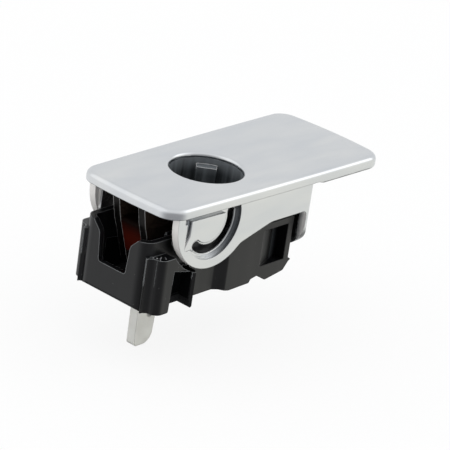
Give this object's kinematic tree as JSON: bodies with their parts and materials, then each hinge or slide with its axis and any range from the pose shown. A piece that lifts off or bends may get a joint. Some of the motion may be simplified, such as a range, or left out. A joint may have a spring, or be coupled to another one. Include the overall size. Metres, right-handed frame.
{
  "type": "glove box latch",
  "caption": "Glove box latch with a satin chrome pull handle, round lock hole, side cheeks, black housing and a pawl whose tongue hangs below.",
  "frame": {"origin": "on the lock hole's axis, level with the plate's top face", "axes": "+Z out of the lid along the lock hole's axis, +X from the hinge end to the finger end of the handle, +Y across it"},
  "size_m": [0.0812, 0.0356, 0.0444],
  "materials": {
    "satin_chrome": "satin",
    "black_gloss": "gloss",
    "black_satin": "satin",
    "red_acetal": "satin",
    "zinc_casting": "matte",
    "steel": "smooth",
    "spring_steel": "smooth"
  },
  "bodies": {
    "housing": {"housing": "black_satin", "pawl_pin": "steel", "pawl_spring": "spring_steel", "handle_spring_front": "spring_steel", "handle_spring_rear": "spring_steel"},
    "handle": {"handle": "satin_chrome", "lock_sleeve": "black_gloss", "push_block": "red_acetal"},
    "pawl": {"pawl": "zinc_casting"}
  },
  "joints": [
    {"name": "handle_pivot", "type": "hinge", "parent": "housing", "child": "handle", "pos_m": [-0.012, 0, -0.0068], "axis": [0, -1, 0], "range_deg": [0, 22], "stiffness_Nm_per_rad": 0.03, "springref_deg": -20.05, "deforming": ["handle_spring_front", "handle_spring_rear"]},
    {"name": "pawl_pivot", "type": "hinge", "parent": "housing", "child": "pawl", "pos_m": [-0.0095, 0, -0.021], "axis": [0, 1, 0], "range_deg": [0, 13.64], "stiffness_Nm_per_rad": 0.02, "springref_deg": -22.92, "deforming": ["pawl_spring"]}
  ],
  "couplings": [
    {"joint": "pawl_pivot", "follows": "handle_pivot", "ratio": 0.62}
  ]
}
